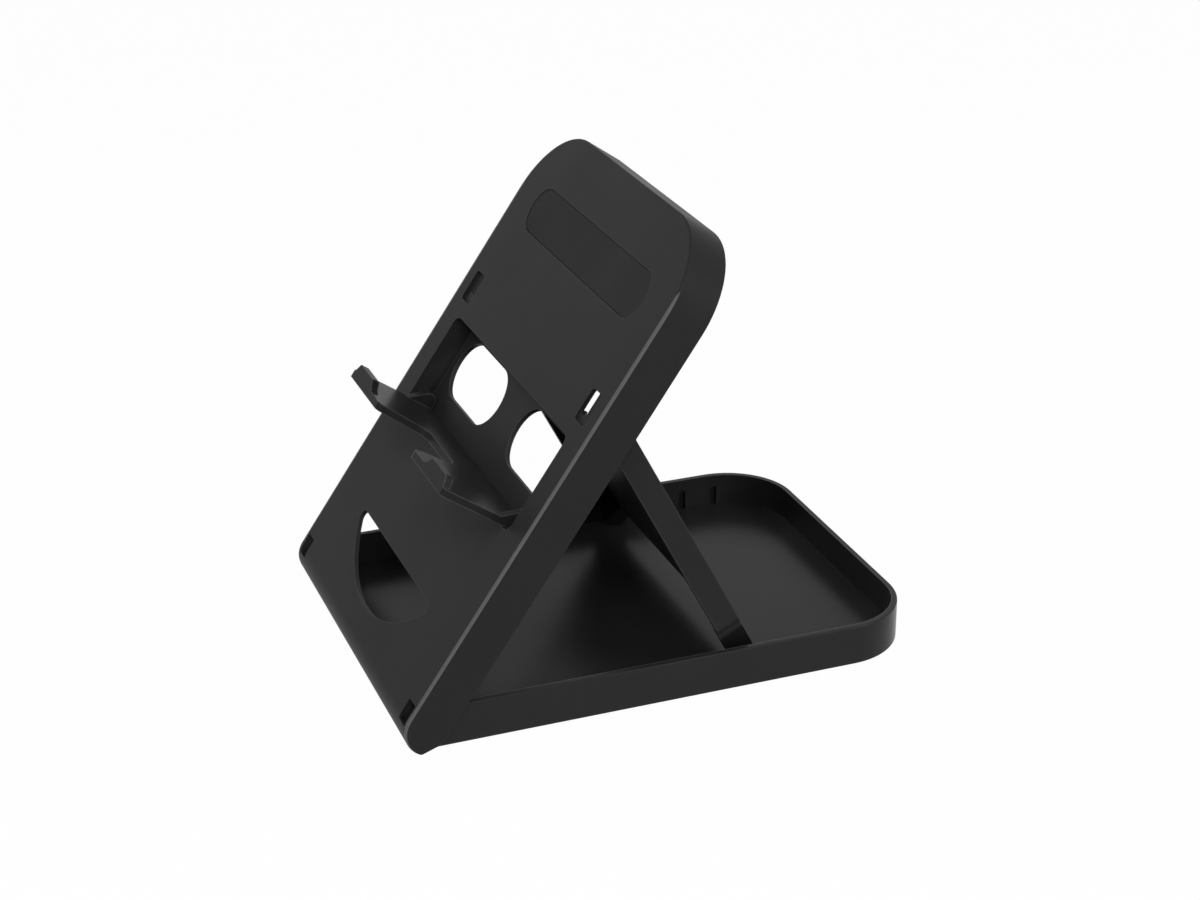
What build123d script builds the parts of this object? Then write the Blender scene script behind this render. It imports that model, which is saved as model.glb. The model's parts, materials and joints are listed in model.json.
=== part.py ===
from build123d import *
import os
from math import asin, cos, degrees, radians, sin

# Folding desk stand for a handheld games console, moulded in black plastic.
# It opens like a flat box: a shallow tray lies on the table, and the outer lid
# stands up as a sloping panel on a hinge across the front. A moulded leg behind
# the panel rests in the tray against the first of a row of stop ribs. A small
# ledge turns out of a pocket in the panel and carries the console.
#
# X runs across, Y from the front hinge to the tray's far end, Z up. The origin
# is on the table, in the middle of the stand's length and width.

# Panel: the outer shell of the folded stand. Lengths start at the hinge axis.
panel_width = 98.8
panel_reach = 128.9
panel_depth = 10.74
panel_wall = 1.5
panel_plate = 1.2
panel_corner = 20.0
panel_edge = 0.5
panel_angle = 55.18
nose_round = 6.45
nose_chin = 2.1
nose_chin_back = 1.92
nose_chin_round = 1.1

# Tray: the inner shell, which nests inside the panel.
tray_wall = 1.5
tray_floor = 2.0
tray_edge = 0.4
tray_ear_radius = 3.6
tray_floor_start = 0.8
tray_shoulder = 1.0
hinge_height = 6.2
nest_gap = 0.4
lid_gap = 0.12

# Main hinge: short pins on the panel's side walls, in eyes of the tray's walls.
hinge_pin_radius = 2.0
hinge_pin_overrun = 0.2
pin_gap = 0.05
hinge_window_width = 4.4
hinge_window_front = 2.1
hinge_window_back = 3.4

# Leg: two arms joined by one web, on pins in ears under the panel's plate.
leg_pivot_reach = 81.27
leg_pivot_height = 0.04
leg_pin_radius = 2.0
leg_pin_overrun = 0.4
leg_length = 76.1
leg_depth = 6.2
leg_arm = 2.3
leg_side_gap = 0.3
leg_web_start = 37.0
leg_web_length = 23.0
leg_web_plate = 1.7
leg_step_start = 63.5
leg_step_slope = 2.5
leg_step = 1.6
leg_lug_radius = 2.2
leg_lug_length = 1.5
leg_floor_gap = 0.3

# Ears for the leg, and the moulding windows over them.
ear_plate = 2.1
ear_radius = 3.2
ear_root_back = 7.8
ear_root_front = 6.4
leg_window_width = 5.8
leg_window_front = 3.67
leg_window_back = 4.63
leg_window_corner = 1.0
leg_window_shift = 0.4
window_step_length = 1.5
window_step_depth = 0.8
window_step_plate = 1.5

# Stop ribs on the tray's side walls.
rib_count = 4
rib_pitch = 9.2
rib_thickness = 1.2
rib_depth = 1.6
rib_height = 5.15
rib_gap = 0.3

# Pocket for the ledge: a tub under the plate with two windows in its back.
pocket_width = 81.8
pocket_start = 47.5
pocket_length = 26.2
pocket_depth = 5.9
pocket_wall = 1.2
pocket_corner = 2.5
pocket_window_width = 32.4
pocket_window_length = 15.6
pocket_window_web = 12.8
pocket_window_margin = 2.35

# Ledge: a plate on a barrel, with a notch for the cable and two front lips.
ledge_width = 76.6
ledge_reach = 18.0
ledge_plate = 1.9
ledge_axis_depth = 3.5
ledge_seat_gap = 0.3
ledge_barrel_radius = 2.0
ledge_barrel_gap = 0.4
ledge_knuckle = 4.2
ledge_cheek = 2.0
ledge_cheek_reach = 5.5
ledge_pin_radius = 1.25
ledge_pin_short = 0.2
ledge_heel = 2.0
ledge_corner = 1.2
notch_start = 4.5
notch_width = 22.0
notch_mouth = 28.8
notch_corner = 4.0
notch_mouth_corner = 1.8
lip_outer = 37.3
lip_outer_top = 35.5
lip_inner = 23.7
lip_inner_top = 25.2
lip_toe = 22.0
lip_toe_height = 0.7
lip_height = 2.4
lip_plate = 2.0
lip_corner = 0.8

# Cable opening low in the panel: straight above, round below.
cable_width = 60.0
cable_top = 20.9
cable_drop = 15.0
cable_corner = 1.8

# Soft grip pad, set into a shallow capsule recess high on the panel.
pad_width = 75.0
pad_height = 12.3
pad_margin = 20.85
pad_recess = 0.6
pad_thickness = 0.45
pad_gap = 0.15

# Rubber feet under the tray.
foot_radius = 4.5
foot_height = 0.65
foot_edge = 0.25
foot_side_margin = 11.0
foot_front = 14.0
foot_back_margin = 14.0

# What follows from those sizes.
nose_radius = panel_depth / 2
nose_inner = nose_radius - panel_plate
panel_half = panel_width / 2
panel_inner = panel_half - panel_wall
tray_half = panel_inner - nest_gap
tray_inner = tray_half - tray_wall
tray_reach = panel_reach - panel_wall - nest_gap
tray_corner = panel_corner - panel_wall - nest_gap
tray_height = hinge_height + nose_inner - lid_gap
nose_centre = nose_radius - nose_round
nose_front = nose_round + nose_centre * sin(radians(panel_angle))
stand_length = nose_front + tray_reach
hinge_y = nose_front - stand_length / 2
hinge_z = foot_height + hinge_height

pocket_half = pocket_width / 2
pocket_floor = nose_radius - pocket_depth
pocket_end = pocket_start + pocket_length
ear_inner = pocket_half
ear_outer = ear_inner + ear_plate
arm_inner = ear_outer + leg_side_gap
arm_outer = arm_inner + leg_arm
window_middle = (ear_inner + ear_outer + leg_side_gap) / 2 - leg_window_shift
window_inner = window_middle - leg_window_width / 2
window_front = leg_pivot_reach - leg_window_front

ledge_axis_height = nose_radius - ledge_axis_depth
ledge_axis_reach = pocket_start + ledge_seat_gap + ledge_axis_depth
ledge_end = ledge_reach + ledge_axis_depth
ledge_top = ledge_plate - ledge_axis_depth
pad_centre = panel_reach - pad_margin


def on_slope(reach, height):
    """Y and Z of a point of the panel, given from the hinge along and off its slope."""
    tilt = radians(panel_angle)
    y = hinge_y + reach * cos(tilt) - height * sin(tilt)
    z = hinge_z + reach * sin(tilt) + height * cos(tilt)
    return y, z


pivot_y, pivot_z = on_slope(leg_pivot_reach, leg_pivot_height)
foot_z = foot_height + tray_floor + leg_floor_gap + leg_depth / 2
leg_tilt = asin((pivot_z - foot_z) / leg_length)
foot_y = pivot_y + leg_length * cos(leg_tilt)
first_rib = foot_y - hinge_y + leg_lug_radius + rib_gap + rib_thickness / 2

slope_normal = (0, -sin(radians(panel_angle)), cos(radians(panel_angle)))
slope_up = (0, cos(radians(panel_angle)), sin(radians(panel_angle)))
leg_rear = (0, sin(leg_tilt), cos(leg_tilt))

panel_place = Plane(origin=(0, hinge_y, hinge_z), x_dir=(1, 0, 0), z_dir=slope_normal)
tray_place = Plane(origin=(0, hinge_y, foot_height))
leg_place = Plane(origin=(0, pivot_y, pivot_z), x_dir=(1, 0, 0), z_dir=leg_rear)
ledge_origin = (0, *on_slope(ledge_axis_reach, ledge_axis_height))
ledge_place = Plane(origin=ledge_origin, x_dir=(-1, 0, 0), z_dir=slope_up)


def span(low_x, high_x, low_y, high_y):
    """A rectangle given by its sides."""
    middle = Pos((low_x + high_x) / 2, (low_y + high_y) / 2)
    return middle * Rectangle(high_x - low_x, high_y - low_y)


def block(low, high):
    """A box given by two opposite corners."""
    size = [b - a for a, b in zip(low, high)]
    middle = [(a + b) / 2 for a, b in zip(low, high)]
    return Pos(*middle) * Box(*size)


def across(profile, low_x, high_x):
    """A side profile, drawn along and up, extruded from one X to another."""
    return extrude(Plane.YZ.offset(low_x) * profile, amount=high_x - low_x, dir=(1, 0, 0))


def cross_pin(radius, reach, height, low_x, high_x):
    """A round pin or hole along X."""
    return across(Pos(reach, height) * Circle(radius), low_x, high_x)


def both_sides(shape):
    """A shape and its mirror image on the other side."""
    return shape + mirror(shape, about=Plane.YZ)


def round_far_corners(shell, radius):
    """Round the two upright edges at the far end."""
    uprights = shell.edges().filter_by(Axis.Z).group_by(Axis.Y)[-1]
    return fillet(uprights, radius)


def nose_side(inset):
    """The nose from the side: a large round over a chin cut back under it."""
    round_side = Pos(0, nose_centre) * Circle(nose_round - inset)
    under = Polygon(
        (-nose_chin_back, -nose_radius),
        (-nose_round, -nose_chin),
        (-nose_round, -2 * panel_depth),
        (panel_depth, -2 * panel_depth),
        (panel_depth, -nose_radius),
        align=None,
    )
    outline = round_side - under
    chin = outline.vertices().sort_by(Axis.X)[0]
    return fillet(chin, nose_chin_round)


def panel_outside():
    """The lid's outer form: square with a round nose, two round top corners."""
    side = span(0, panel_reach, -nose_radius, nose_radius) + nose_side(0)
    body = round_far_corners(across(side, -panel_half, panel_half), panel_corner)
    rims = body.edges().filter_by(lambda e: abs(e.center().Z) > nose_radius - 0.01)
    rims = rims.filter_by(lambda e: abs(e.center().Y) > 0.01)
    noses = body.edges().filter_by(lambda e: e.center().Y < -0.01)
    noses = noses.filter_by(lambda e: abs(e.center().X) > panel_half - 0.01)
    return fillet(rims + noses, panel_edge)


def panel_inside():
    """The lid's hollow, open below and under the nose."""
    end = panel_reach - panel_wall
    side = span(0, end, -panel_depth, nose_inner) + nose_side(panel_plate)
    side += span(-panel_depth, end, -panel_depth, 0)
    body = across(side, -panel_inner, panel_inner)
    return round_far_corners(body, panel_corner - panel_wall)


def pocket_tub():
    """The outside of the ledge's tub, under the plate."""
    outer = pocket_half + pocket_wall
    plan = span(-outer, outer, pocket_start - pocket_wall, pocket_end + pocket_wall)
    plan = fillet(plan.vertices(), pocket_corner + pocket_wall)
    depth = pocket_depth + pocket_wall - panel_plate / 2
    return Pos(0, 0, pocket_floor - pocket_wall) * extrude(plan, amount=depth)


def pocket_hollow():
    """The tub's inside and the two long windows in its back."""
    plan = span(-pocket_half, pocket_half, pocket_start, pocket_end)
    plan = fillet(plan.vertices(), pocket_corner)
    hollow = Pos(0, 0, pocket_floor) * extrude(plan, amount=pocket_depth + 1)
    middle_x = (pocket_window_web + pocket_window_width) / 2
    middle_y = pocket_end - pocket_window_margin - pocket_window_length / 2
    slot = Pos(middle_x, middle_y) * SlotOverall(pocket_window_width, pocket_window_length)
    window = Pos(0, 0, pocket_floor - 2 * pocket_wall) * extrude(slot, amount=3 * pocket_wall)
    return hollow + both_sides(window)


def leg_ear():
    """One ear: a rib under the plate that ends round about the leg's pivot."""
    root = nose_inner + panel_plate / 2
    web = Polygon(
        (leg_pivot_reach - ear_root_front, root),
        (leg_pivot_reach + ear_root_back, root),
        (leg_pivot_reach + ear_radius, leg_pivot_height),
        (leg_pivot_reach - ear_radius, leg_pivot_height),
        align=None,
    )
    eye = Pos(leg_pivot_reach, leg_pivot_height) * Circle(ear_radius)
    return across(web + eye, ear_inner, ear_outer)


def leg_window():
    """The moulding window over one ear and arm."""
    back = leg_pivot_reach + leg_window_back
    outer = window_inner + leg_window_width
    plan = span(window_inner, outer, window_front, back)
    plan = fillet(plan.vertices(), leg_window_corner)
    return Pos(0, 0, nose_inner) * extrude(plan, amount=2 * panel_plate)


def leg_window_step():
    """The step in that window's front end, hollowed round at its edge over the slot."""
    slot = (ear_inner - window_inner) / 2
    back = window_front + window_step_length + slot
    plan = span(window_inner - panel_plate / 2, ear_outer, window_front - panel_plate / 2, back)
    plan -= Pos(window_inner + slot, back) * Circle(slot)
    bottom = nose_radius - window_step_depth - window_step_plate
    return Pos(0, 0, bottom) * extrude(plan, amount=window_step_plate)


def hinge_window():
    """The moulding window over one hinge pin."""
    inner = panel_inner - hinge_window_width
    return block(
        (inner, -hinge_window_front, hinge_pin_radius / 2),
        (panel_inner, hinge_window_back, panel_depth),
    )


def cable_hole():
    """The opening for the cable: a straight top edge over a round bottom."""
    half = cable_width / 2
    bottom = cable_top - cable_drop
    edge = Line((-half, cable_top), (half, cable_top))
    arc = ThreePointArc((half, cable_top), (0, bottom), (-half, cable_top))
    plan = make_face(edge + arc)
    plan = fillet(plan.vertices(), cable_corner)
    return extrude(plan, amount=panel_depth, dir=(0, 0, 1))


def pad_shape(margin, bottom, height):
    """The capsule of the grip pad or its recess."""
    plan = Pos(0, pad_centre) * SlotOverall(pad_width - 2 * margin, pad_height - 2 * margin)
    return Pos(0, 0, bottom) * extrude(plan, amount=height)


def make_front_panel():
    panel = panel_outside() - panel_inside()
    panel += pocket_tub()
    panel += both_sides(leg_ear())
    panel -= pocket_hollow()
    panel -= both_sides(leg_window())
    panel += both_sides(leg_window_step())
    panel -= both_sides(hinge_window())
    panel -= cable_hole()
    panel -= pad_shape(0, nose_radius - pad_recess, 2 * pad_recess)
    eye = leg_pin_radius + pin_gap
    eyes = cross_pin(eye, leg_pivot_reach, leg_pivot_height, ear_inner - 1, ear_outer + 1)
    panel -= both_sides(eyes)
    socket = ledge_pin_radius + pin_gap
    sockets = cross_pin(
        socket, ledge_axis_reach, ledge_axis_height, pocket_half - 1, pocket_half + pocket_wall + 1
    )
    panel -= both_sides(sockets)
    tip = tray_inner - hinge_pin_overrun
    panel += both_sides(cross_pin(hinge_pin_radius, 0, 0, tip, panel_inner + panel_wall / 2))
    return panel


def make_grip_pad():
    return pad_shape(pad_gap, nose_radius - pad_recess, pad_thickness)


def tray_side():
    """The tray's side profile, with a round ear about the hinge axis."""
    wall = Polygon(
        (0, hinge_height + tray_ear_radius),
        (tray_shoulder, tray_height),
        (tray_reach, tray_height),
        (tray_reach, 0),
        (tray_floor_start, 0),
        (tray_floor_start, hinge_height),
        (0, hinge_height),
        align=None,
    )
    return wall + Pos(0, hinge_height) * Circle(tray_ear_radius)


def tray_outside():
    body = round_far_corners(across(tray_side(), -tray_half, tray_half), tray_corner)
    top = body.faces().sort_by(Axis.Z)[-1].edges()
    low = body.faces().sort_by(Axis.Z)[0].edges()
    rims = (top + low).filter_by(lambda e: e.center().Y > tray_shoulder + 1)
    return fillet(rims, tray_edge)


def tray_inside():
    """The tray's hollow, and the space in front of its floor."""
    end = tray_reach - tray_wall
    side = span(-panel_depth, end, tray_floor, 2 * tray_height)
    side += span(-panel_depth, tray_floor_start, -tray_floor, 2 * tray_height)
    body = across(side, -tray_inner, tray_inner)
    return round_far_corners(body, tray_corner - tray_wall)


def stop_ribs():
    """The rows of ribs that the leg's lugs rest against."""
    ribs = []
    for number in range(rib_count):
        middle = first_rib + number * rib_pitch
        low = (tray_inner - rib_depth, middle - rib_thickness / 2, tray_floor / 2)
        high = (tray_inner + tray_wall / 2, middle + rib_thickness / 2, tray_floor + rib_height)
        ribs.append(block(low, high))
    return both_sides(Part() + ribs)


def make_base_tray():
    outside = tray_outside()
    tray = outside - tray_inside()
    tray += stop_ribs() & outside
    eye = hinge_pin_radius + pin_gap
    eyes = cross_pin(eye, 0, hinge_height, tray_inner - 1, tray_half + 1)
    return tray - both_sides(eyes)


def leg_arm_shape():
    """One arm: straight, then stepped inwards, with a lug at its foot."""
    radius = leg_depth / 2
    side = span(0, leg_length, -radius, radius) + Circle(radius)
    side += Pos(leg_length, 0) * Circle(radius)
    bar = across(side, arm_inner - leg_step, arm_outer)
    step_end = leg_step_start + leg_step_slope
    plan = Polygon(
        (arm_inner, -leg_depth),
        (arm_outer, -leg_depth),
        (arm_outer, leg_step_start),
        (arm_outer - leg_step, step_end),
        (arm_outer - leg_step, leg_length + leg_depth),
        (arm_inner - leg_step, leg_length + leg_depth),
        (arm_inner - leg_step, step_end),
        (arm_inner, leg_step_start),
        align=None,
    )
    arm = bar & extrude(plan, amount=leg_depth, both=True)
    root = arm_outer - leg_step
    lug = cross_pin(leg_lug_radius, leg_length, 0, root - leg_arm / 2, root + leg_lug_length)
    pin = cross_pin(leg_pin_radius, 0, 0, ear_inner - leg_pin_overrun, arm_inner + leg_arm / 2)
    return arm + lug + pin


def make_support_leg():
    reach = arm_inner + leg_arm / 2
    web = block(
        (-reach, leg_web_start, leg_depth / 2 - leg_web_plate),
        (reach, leg_web_start + leg_web_length, leg_depth / 2),
    )
    return both_sides(leg_arm_shape()) + web


def ledge_side():
    """The ledge's side profile: its plate, which ends in a round heel."""
    plate = span(0, ledge_end, -ledge_axis_depth, ledge_top)
    heel = Circle(ledge_axis_depth) & span(-ledge_heel, ledge_heel, -ledge_axis_depth, ledge_top)
    return plate + heel


def ledge_notch():
    """The notch for the cable, which widens towards the front."""
    start = notch_start + ledge_axis_depth
    plan = Polygon(
        (-notch_width / 2, start),
        (notch_width / 2, start),
        (notch_mouth / 2, ledge_end),
        (-notch_mouth / 2, ledge_end),
        align=None,
    )
    inner = plan.vertices().group_by(Axis.Y)[0]
    plan = fillet(inner, notch_corner)
    return Pos(0, 0, -ledge_axis_depth - 1) * extrude(plan, amount=ledge_axis_depth + 1)


def ledge_lip():
    """One front lip, upright outside and sloping inside."""
    top = ledge_top + lip_height
    root = ledge_top - ledge_plate / 2
    plan = Polygon(
        (lip_toe, root),
        (lip_outer, root),
        (lip_outer_top, top),
        (lip_inner_top, top),
        (lip_inner, ledge_top + lip_toe_height),
        (lip_toe, ledge_top),
        align=None,
    )
    plan = fillet(plan.vertices().group_by(Axis.Y)[-1], lip_corner)
    return extrude(Plane.XZ.offset(-ledge_end) * plan, amount=lip_plate)


def ledge_knuckles():
    """The two knuckles on the ledge's axis, each with a cheek that runs out of it."""
    outer = pocket_half - ledge_barrel_gap
    inner = outer - ledge_knuckle
    radius = ledge_barrel_radius
    foot = ledge_top - ledge_plate / 2
    knuckle = cross_pin(radius, 0, 0, inner, outer)
    knuckle += across(span(-radius, radius, foot, 0), inner, ledge_width / 2)
    cheek = Polygon(
        (0, foot),
        (ledge_cheek_reach, foot),
        (ledge_cheek_reach, ledge_top),
        (radius / 2, radius * 0.85),
        (0, radius * 0.85),
        align=None,
    )
    knuckle += across(cheek, inner, inner + ledge_cheek)
    pin_end = pocket_half + pocket_wall - ledge_pin_short
    return knuckle + cross_pin(ledge_pin_radius, 0, 0, inner + ledge_cheek, pin_end)


def make_console_ledge():
    half = ledge_width / 2
    ledge = across(ledge_side(), -half, half) - ledge_notch()
    corners = ledge.edges().filter_by(Axis.Z).group_by(Axis.Y)[-1]
    outer = corners.filter_by(lambda e: abs(e.center().X) > half - 1)
    ledge = fillet(outer, ledge_corner)
    mouth = ledge.edges().filter_by(Axis.Z).filter_by(
        lambda e: abs(abs(e.center().X) - notch_mouth / 2) < 0.1
    )
    ledge = fillet(mouth, notch_mouth_corner)
    ledge += both_sides(ledge_lip())
    return ledge + both_sides(ledge_knuckles())


def make_foot(side, reach):
    """One round rubber foot, flat against the tray's underside."""
    foot = Cylinder(foot_radius, foot_height)
    foot = chamfer(foot.faces().sort_by(Axis.Z)[0].edges(), foot_edge)
    x = side * (tray_half - foot_side_margin)
    return Pos(x, hinge_y + reach, foot_height / 2) * foot


def placed(plane, shape):
    """A shape carried from its own flat frame to its place in the stand."""
    return plane.location * shape


foot_back = tray_reach - foot_back_margin
stand = {
    "base_tray": placed(tray_place, make_base_tray()),
    "front_panel": placed(panel_place, make_front_panel()),
    "grip_pad": placed(panel_place, make_grip_pad()),
    "support_leg": placed(leg_place, make_support_leg()),
    "console_ledge": placed(ledge_place, make_console_ledge()),
    "foot_front_left": make_foot(-1, foot_front),
    "foot_front_right": make_foot(1, foot_front),
    "foot_rear_left": make_foot(-1, foot_back),
    "foot_rear_right": make_foot(1, foot_back),
}

os.makedirs("parts", exist_ok=True)
for name, shape in stand.items():
    export_step(shape, f"parts/{name}.step")

print("leg tilt", round(degrees(leg_tilt), 3))
print("main hinge", round(hinge_y, 4), round(hinge_z, 4))
print("leg pivot", round(pivot_y, 4), round(pivot_z, 4))
print("ledge axis", [round(v, 4) for v in ledge_origin])
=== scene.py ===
import json
import bmesh
import bpy
from math import cos, radians, sin
from mathutils import Matrix, Vector


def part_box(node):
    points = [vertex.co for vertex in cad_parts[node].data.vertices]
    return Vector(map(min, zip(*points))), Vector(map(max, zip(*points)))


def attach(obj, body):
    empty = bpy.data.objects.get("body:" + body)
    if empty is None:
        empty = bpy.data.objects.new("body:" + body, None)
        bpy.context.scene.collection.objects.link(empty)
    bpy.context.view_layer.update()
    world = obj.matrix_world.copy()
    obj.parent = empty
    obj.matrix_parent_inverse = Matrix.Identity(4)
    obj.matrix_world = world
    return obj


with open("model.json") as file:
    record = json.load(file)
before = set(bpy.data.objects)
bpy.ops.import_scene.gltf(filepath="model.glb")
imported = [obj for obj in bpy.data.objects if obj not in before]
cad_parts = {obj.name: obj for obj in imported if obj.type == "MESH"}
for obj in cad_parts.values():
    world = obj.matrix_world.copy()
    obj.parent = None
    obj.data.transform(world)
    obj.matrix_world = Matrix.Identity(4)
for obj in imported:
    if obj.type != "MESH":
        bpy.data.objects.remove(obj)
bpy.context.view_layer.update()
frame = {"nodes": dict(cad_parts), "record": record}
bpy.ops.object.select_all(action="DESELECT")
nodes = frame["nodes"]


# Base tray, the inner shell. Black moulded plastic with a fine grain, glossier
# than the outer shell. It lies on four feet and carries the panel's hinge pins
# in the eyes of its side walls.

mix_factor, mix_under, mix_over, mix_result = 0, 6, 7, 2
edge_radius = 0.0006
edge_samples = 8
edge_flat, edge_sharp = 0.995, 0.85
patch_low, patch_high = 0.3, 0.7
grain_strength = 0.35
rim_start, rim_full = 0.0006, 0.0003


def ramp(tree, value, start, end, low=0.0, high=1.0):
    node = tree.nodes.new("ShaderNodeMapRange")
    node.inputs["From Min"].default_value = start
    node.inputs["From Max"].default_value = end
    node.inputs["To Min"].default_value = low
    node.inputs["To Max"].default_value = high
    tree.links.new(value, node.inputs["Value"])
    return node.outputs["Result"]


def two_in(tree, kind, operation, first, second):
    node = tree.nodes.new(kind)
    node.operation = operation
    tree.links.new(first, node.inputs[0])
    tree.links.new(second, node.inputs[1])
    return node.outputs[0]


def blend(tree, mask, over):
    mix = tree.nodes.new("ShaderNodeMix")
    mix.data_type = "RGBA"
    mix.inputs[mix_over].default_value = (*over, 1.0)
    tree.links.new(mask, mix.inputs[mix_factor])
    return mix


def paint_over(material, mask, colour):
    tree = material.node_tree
    base_colour = tree.nodes["Principled BSDF"].inputs["Base Color"]
    mix = blend(tree, mask, colour)
    tree.links.new(base_colour.links[0].from_socket, mix.inputs[mix_under])
    tree.links.new(mix.outputs[mix_result], base_colour)


def moulded_grain_group():
    group = bpy.data.node_groups.new("moulded grain", "ShaderNodeTree")
    make = group.interface.new_socket
    make(name="Vector", in_out="INPUT", socket_type="NodeSocketVector")
    entry = group.nodes.new("NodeGroupInput")
    leave = group.nodes.new("NodeGroupOutput")
    link = group.links.new
    for scale, size, detail, roughness, result in (
        ("Grain Scale", 3800.0, 2.0, 0.55, "Height"),
        ("Patch Scale", 45.0, 4.0, 0.6, "Patches"),
    ):
        socket = make(name=scale, in_out="INPUT", socket_type="NodeSocketFloat")
        socket.default_value = size
        make(name=result, in_out="OUTPUT", socket_type="NodeSocketFloat")
        noise = group.nodes.new("ShaderNodeTexNoise")
        noise.inputs["Detail"].default_value = detail
        noise.inputs["Roughness"].default_value = roughness
        link(entry.outputs["Vector"], noise.inputs["Vector"])
        link(entry.outputs[scale], noise.inputs["Scale"])
        link(noise.outputs["Fac"], leave.inputs[result])
    return group


# Painted edge highlight: a rounded-edge mask along every edge, into which each material paints
# its edge colour. Where that colour is lighter than the plastic, as on the shell and the ledge,
# it is a painted highlight; on the tray it matches the lighter tone, and on the pad it is
# slightly darker.
def painted_edge_highlight_group():
    group = bpy.data.node_groups.new("painted edge highlight", "ShaderNodeTree")
    make = group.interface.new_socket
    radius = make(name="Radius", in_out="INPUT", socket_type="NodeSocketFloat")
    radius.default_value = edge_radius
    make(name="Mask", in_out="OUTPUT", socket_type="NodeSocketFloat")
    entry = group.nodes.new("NodeGroupInput")
    leave = group.nodes.new("NodeGroupOutput")
    rounded = group.nodes.new("ShaderNodeBevel")
    rounded.samples = edge_samples
    group.links.new(entry.outputs["Radius"], rounded.inputs["Radius"])
    surface = group.nodes.new("ShaderNodeNewGeometry")
    agreement = group.nodes.new("ShaderNodeVectorMath")
    agreement.operation = "DOT_PRODUCT"
    group.links.new(rounded.outputs["Normal"], agreement.inputs[0])
    group.links.new(surface.outputs["Normal"], agreement.inputs[1])
    mask = ramp(group, agreement.outputs["Value"], edge_flat, edge_sharp)
    group.links.new(mask, leave.inputs["Mask"])
    return group


moulded_grain = moulded_grain_group()
painted_edge_highlight = painted_edge_highlight_group()


def group_node(tree, group):
    node = tree.nodes.new("ShaderNodeGroup")
    node.node_tree = group
    return node


def moulded_plastic(name, dark, light, smooth, rough, level, relief, edge):
    material = bpy.data.materials.new(name)
    material.use_nodes = True
    tree = material.node_tree
    link = tree.links.new
    shader = tree.nodes["Principled BSDF"]
    shader.inputs["Specular IOR Level"].default_value = level
    place = tree.nodes.new("ShaderNodeTexCoord")
    grain = group_node(tree, moulded_grain)
    link(place.outputs["Object"], grain.inputs["Vector"])
    patches = grain.outputs["Patches"]
    tone = blend(tree, patches, light)
    tone.inputs[mix_under].default_value = (*dark, 1.0)
    link(tone.outputs[mix_result], shader.inputs["Base Color"])
    # Paints the edge colour along every edge: a painted highlight where it is lighter than the
    # plastic.
    paint_over(material, group_node(tree, painted_edge_highlight).outputs["Mask"], edge)
    shine = ramp(tree, patches, patch_low, patch_high, smooth, rough)
    link(shine, shader.inputs["Roughness"])
    bump = tree.nodes.new("ShaderNodeBump")
    bump.inputs["Strength"].default_value = grain_strength
    bump.inputs["Distance"].default_value = relief
    link(grain.outputs["Height"], bump.inputs["Height"])
    link(bump.outputs["Normal"], shader.inputs["Normal"])
    return material


def dress(name, material):
    nodes[name].data.materials.clear()
    nodes[name].data.materials.append(material)


def object_axis(tree, axis):
    place = tree.nodes.new("ShaderNodeSeparateXYZ")
    where = tree.nodes["Texture Coordinate"].outputs["Object"]
    tree.links.new(where, place.inputs["Vector"])
    return place.outputs[axis]


# Painted highlight: a light line painted along the top edges of the tray's rim, where the edge
# mask meets the rim's height.
def painted_rim_highlight(material, height, bright):
    tree = material.node_tree
    at_rim = ramp(tree, object_axis(tree, "Z"), height - rim_start, height - rim_full)
    highlight_edge_mask = group_node(tree, painted_edge_highlight).outputs["Mask"]
    both = two_in(tree, "ShaderNodeMath", "MULTIPLY", at_rim, highlight_edge_mask)
    paint_over(material, both, bright)


tray_plastic = moulded_plastic(
    "black tray plastic",
    dark=(0.0185, 0.0185, 0.019),
    light=(0.023, 0.023, 0.0235),
    smooth=0.22,
    rough=0.27,
    level=0.09,
    relief=0.000003,
    edge=(0.023, 0.023, 0.0235),
)
# The tray's rim gets a painted highlight line.
painted_rim_highlight(tray_plastic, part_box("base_tray")[1][2], (0.09, 0.09, 0.092))
dress("base_tray", tray_plastic)


# Front panel, the outer shell. Black plastic like the tray's but duller, moulded
# in one with its skirts, hinge pins, leg ears and the tub for the ledge.

# The shell's edge colour, about twice as light as its plastic, is a painted highlight along every
# edge.
shell_plastic = moulded_plastic(
    "black moulded plastic",
    dark=(0.021, 0.021, 0.0215),
    light=(0.0255, 0.0255, 0.026),
    smooth=0.40,
    rough=0.48,
    level=0.04,
    relief=0.00002,
    edge=(0.048, 0.048, 0.049),
)
panel_tilt = radians(55.18)
panel_half_width = 0.0494
side_start, side_full = 0.0011, 0.0008
front_start, front_full = 0.05, 0.3


def dot_with(tree, vector, direction):
    node = tree.nodes.new("ShaderNodeVectorMath")
    node.operation = "DOT_PRODUCT"
    node.inputs[1].default_value = direction
    tree.links.new(vector, node.inputs[0])
    return node.outputs["Value"]


# Painted highlight: a light line painted along the panel's outer side edges where they turn
# towards the face.
def painted_outer_edge_highlight(material, outside, bright):
    tree = material.node_tree
    side = tree.nodes.new("ShaderNodeMath")
    side.operation = "ABSOLUTE"
    tree.links.new(object_axis(tree, "X"), side.inputs[0])
    at_side = ramp(tree, side.outputs[0], outside - side_start, outside - side_full)
    surface = tree.nodes.new("ShaderNodeNewGeometry")
    face_normal = (0.0, -sin(panel_tilt), cos(panel_tilt))
    front = dot_with(tree, surface.outputs["Normal"], face_normal)
    to_front = ramp(tree, front, front_start, front_full)
    both = two_in(tree, "ShaderNodeMath", "MULTIPLY", at_side, to_front)
    paint_over(material, both, bright)


panel_plastic = shell_plastic.copy()
panel_plastic.name = "black panel plastic"
# The panel's outer front edges get a painted highlight line.
painted_outer_edge_highlight(panel_plastic, panel_half_width, (0.12, 0.12, 0.1225))
dress("front_panel", panel_plastic)


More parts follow.
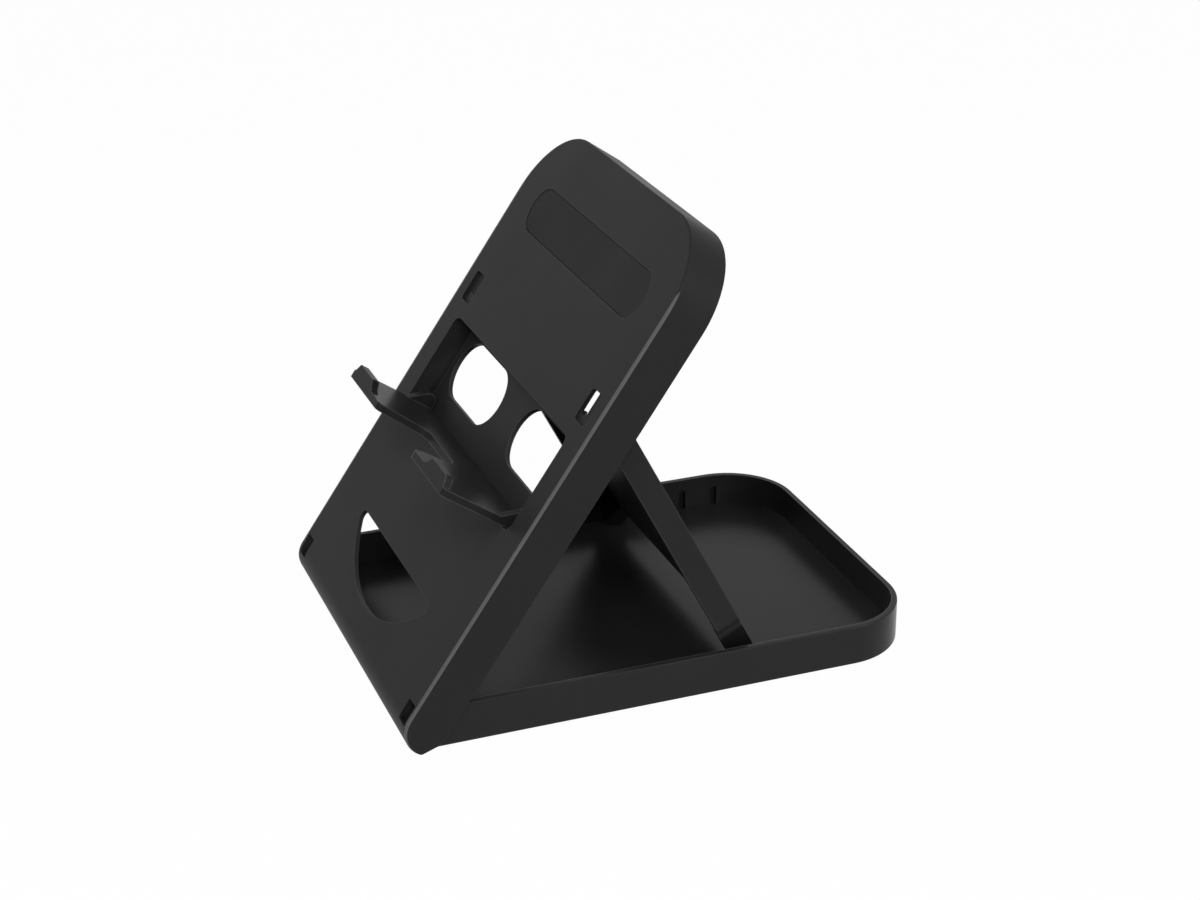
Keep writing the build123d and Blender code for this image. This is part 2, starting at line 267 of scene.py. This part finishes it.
# Hinge ribs and window pads, small webs moulded under the panel's plate. They
# are inferred: the ribs darken the hinge windows and stand clear of the tray,
# and the pads close the outer halves of the windows over the leg's pins.

joints = {joint["name"]: joint for joint in frame["record"]["behaviour"]["joints"]}
panel_pin = joints["panel_hinge"]["pos_m"]
smooth_angle = radians(30.0)
web_edge, web_edge_steps = 0.00025, 2
rib_place, rib_size = (0.0429, 0.00065, 0.00355), (0.0012, 0.0075, 0.0019)
pad_place, pad_size = (0.0438, 0.08175, 0.003775), (0.0024, 0.0095, 0.00095)


def start_block(name, middle, size):
    bpy.ops.mesh.primitive_cube_add(size=1.0, location=(0.0, 0.0, 0.0))
    block = bpy.context.active_object
    block.name = name
    bpy.ops.object.mode_set(mode="EDIT")
    bpy.ops.mesh.select_all(action="SELECT")
    bpy.ops.transform.resize(value=size)
    bpy.ops.transform.translate(value=middle)
    return block


def seat_block(block, tilt, place):
    bpy.ops.object.mode_set(mode="OBJECT")
    block.rotation_euler = (tilt, 0.0, 0.0)
    block.location = place
    bpy.ops.object.transform_apply(location=True, rotation=True, scale=True)
    block.data.materials.append(shell_plastic)
    bpy.ops.object.shade_smooth_by_angle(angle=smooth_angle)


def panel_web(name, side, place, size):
    rib = start_block(name, (side * place[0], place[1], place[2]), size)
    bpy.ops.mesh.bevel(offset=web_edge, segments=web_edge_steps, affect="EDGES")
    seat_block(rib, panel_tilt, panel_pin)
    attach(rib, "panel")
    rib.select_set(False)


for hand, side in (("right", 1.0), ("left", -1.0)):
    panel_web("hinge_rib_" + hand, side, rib_place, rib_size)
    panel_web("window_pad_" + hand, side, pad_place, pad_size)


# Support leg. Two arms and a web in one moulding, pushed over the ears under
# the panel; its lugs rest on the tray's stop ribs. The web reaches down nearly
# to the feet, and its lowest part is modelled here.

leg_pin = joints["leg_hinge"]["pos_m"]
leg_tilt = radians(62.565)
leg_colour_start, leg_colour_fade = 0.0664, 0.0012
web_middle, web_size = (0.0, 0.06155, 0.00225), (0.0870, 0.0041, 0.00166)
step_length, narrow_share, narrow_length = 0.0025, 0.966, 0.0087
facing_down = 0.9
foot_edge, foot_edge_steps = 0.0004, 3


# Painted shade: past a set distance down the leg from its pin, the stepped-in foot gets a much
# darker base colour.
def painted_foot_shade(material, start, fade, dark):
    tree = material.node_tree
    from_pin = tree.nodes.new("ShaderNodeVectorMath")
    from_pin.operation = "SUBTRACT"
    from_pin.inputs[1].default_value = leg_pin
    where = tree.nodes["Texture Coordinate"].outputs["Object"]
    tree.links.new(where, from_pin.inputs[0])
    down_the_leg = (0.0, cos(leg_tilt), -sin(leg_tilt))
    along = dot_with(tree, from_pin.outputs["Vector"], down_the_leg)
    paint_over(material, ramp(tree, along, start, start + fade), dark)


leg_plastic = shell_plastic.copy()
leg_plastic.name = "black leg plastic"
# The leg's foot gets painted shade.
painted_foot_shade(leg_plastic, leg_colour_start, leg_colour_fade, (0.006, 0.006, 0.0062))
dress("support_leg", leg_plastic)

web_foot = start_block("leg_web_foot", web_middle, web_size)
bpy.ops.mesh.select_all(action="DESELECT")
shape = bmesh.from_edit_mesh(web_foot.data)
for face in shape.faces:
    if face.normal.y > facing_down:
        face.select_set(True)
bmesh.update_edit_mesh(web_foot.data)
bpy.ops.mesh.extrude_region_move(TRANSFORM_OT_translate={"value": (0.0, step_length, 0.0)})
bpy.ops.transform.resize(value=(narrow_share, 1.0, 1.0))
bpy.ops.mesh.extrude_region_move(TRANSFORM_OT_translate={"value": (0.0, narrow_length, 0.0)})
bpy.ops.mesh.bevel(offset=foot_edge, segments=foot_edge_steps, affect="EDGES")
seat_block(web_foot, -leg_tilt, leg_pin)
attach(web_foot, "leg")
web_foot.select_set(False)


# Console ledge. A small plate with two lips. Two end knuckles with cheeks carry
# its pins, which turn in the tub's side walls. It is glossier than the panel.

# The ledge's edge colour, several times lighter than its plastic, paints glints along every edge:
# a painted highlight.
ledge_plastic = moulded_plastic(
    "black ledge plastic",
    dark=(0.018, 0.018, 0.0184),
    light=(0.022, 0.022, 0.0225),
    smooth=0.28,
    rough=0.34,
    level=0.03,
    relief=0.000004,
    edge=(0.07, 0.07, 0.0715),
)
dress("console_ledge", ledge_plastic)


# Grip pad. A thin strip of black rubber, stuck into its capsule recess, duller
# than the plastic round it.

pad_rubber = moulded_plastic(
    "black pad rubber",
    dark=(0.0245, 0.0245, 0.025),
    light=(0.0295, 0.0295, 0.030),
    smooth=0.55,
    rough=0.68,
    level=0.04,
    relief=0.00005,
    edge=(0.02, 0.02, 0.0205),
)
dress("grip_pad", pad_rubber)


# Feet. Four self-adhesive rubber discs under the tray. The photograph hides
# them.

foot_rubber = moulded_plastic(
    "dark foot rubber",
    dark=(0.02, 0.02, 0.021),
    light=(0.03, 0.03, 0.031),
    smooth=0.7,
    rough=0.8,
    level=0.3,
    relief=0.00005,
    edge=(0.03, 0.03, 0.031),
)
for foot in ("foot_front_left", "foot_front_right", "foot_rear_left", "foot_rear_right"):
    dress(foot, foot_rubber)


# Floor and surroundings. A wide pale floor under a white studio, which the
# camera and the gloss see as white, with the stand's soft shadow kept.

floor_width = 6.0
floor_colour = (0.9, 0.9, 0.9, 1.0)
floor_roughness, floor_level = 0.9, 0.1
white = (1.0, 1.0, 1.0, 1.0)
white_strength = 1.0
white_share = 0.98
studio_strength = 0.14


def seen_as_white(tree):
    rays = tree.nodes.new("ShaderNodeLightPath").outputs
    seen = two_in(tree, "ShaderNodeMath", "MAXIMUM", rays["Is Camera Ray"], rays["Is Glossy Ray"])
    return two_in(tree, "ShaderNodeMath", "MAXIMUM", seen, rays["Is Transmission Ray"])


def mix_shaders(tree, mask, lit, bright, output):
    mix = tree.nodes.new("ShaderNodeMixShader")
    tree.links.new(mask, mix.inputs[0])
    tree.links.new(lit.outputs[0], mix.inputs[1])
    tree.links.new(bright.outputs[0], mix.inputs[2])
    tree.links.new(mix.outputs[0], tree.nodes[output].inputs["Surface"])


bpy.ops.mesh.primitive_plane_add(size=floor_width, location=(0.0, 0.0, 0.0))
floor = bpy.context.active_object
floor.name = "floor"
floor_paper = bpy.data.materials.new("pale floor")
floor_paper.use_nodes = True
paper = floor_paper.node_tree
paper_shader = paper.nodes["Principled BSDF"]
paper_shader.inputs["Base Color"].default_value = floor_colour
paper_shader.inputs["Roughness"].default_value = floor_roughness
paper_shader.inputs["Specular IOR Level"].default_value = floor_level
white_paper = paper.nodes.new("ShaderNodeEmission")
white_paper.inputs["Strength"].default_value = white_strength
paper_share = paper.nodes.new("ShaderNodeMath")
paper_share.operation = "MULTIPLY"
paper_share.inputs[1].default_value = white_share
paper.links.new(seen_as_white(paper), paper_share.inputs[0])
mix_shaders(paper, paper_share.outputs[0], paper_shader, white_paper, "Material Output")
floor.data.materials.append(floor_paper)

studio = bpy.data.worlds.new("studio")
bpy.context.scene.world = studio
studio.use_nodes = True
sky = studio.node_tree
sky_light = sky.nodes["Background"]
sky_light.inputs["Color"].default_value = white
sky_light.inputs["Strength"].default_value = studio_strength
sky_white = sky.nodes.new("ShaderNodeBackground")
sky_white.inputs["Color"].default_value = white
sky_white.inputs["Strength"].default_value = white_strength
mix_shaders(sky, seen_as_white(sky), sky_light, sky_white, "World Output")


# Lamps. Soft boxes round the stand, as in a small product studio: two on its
# right, one before it for the edges, one close over the face and a weak left one.

stand_middle = (0.0, 0.0, 0.05)
face_middle = (0.0, 0.0, 0.09)


def soft_box(name, place, target, size, power):
    bpy.ops.object.light_add(type="AREA", location=place)
    lamp = bpy.context.active_object
    lamp.name = name
    lamp.data.shape = "SQUARE"
    lamp.data.size = size
    lamp.data.energy = power
    aim = Vector(target) - Vector(place)
    lamp.rotation_euler = aim.to_track_quat("-Z", "Y").to_euler()


soft_box("left soft box", (-1.3, -0.62, 0.62), stand_middle, size=0.7, power=1.1)
soft_box("face soft box", (0.12, -0.28, 0.50), face_middle, size=0.15, power=0.65)
soft_box("front soft box", (0.62, -0.98, 0.48), stand_middle, size=0.3, power=1.5)
soft_box("right soft box", (1.0, -0.2, 1.0), stand_middle, size=0.5, power=5.3)
soft_box("back soft box", (0.9, 0.8, 0.62), stand_middle, size=0.5, power=6.6)


# Camera, at the place and angle solved from the photograph.

lens, sensor_width, clip_start = 71.15, 36.0, 0.01
eye = Vector((0.49981, -0.18770, 0.28576))
right = Vector((0.35438, 0.93508, -0.00685))
up = Vector((-0.38081, 0.15100, 0.91224))
back = Vector((0.85400, -0.32070, 0.40960))
turn = Matrix((right, up, back)).transposed()
bpy.ops.object.camera_add(location=eye, rotation=turn.to_euler())
camera = bpy.context.active_object
camera.data.lens = lens
camera.data.sensor_width = sensor_width
camera.data.sensor_fit = "HORIZONTAL"
camera.data.clip_start = clip_start
bpy.context.scene.camera = camera
bpy.context.scene.view_settings.view_transform = "Standard"
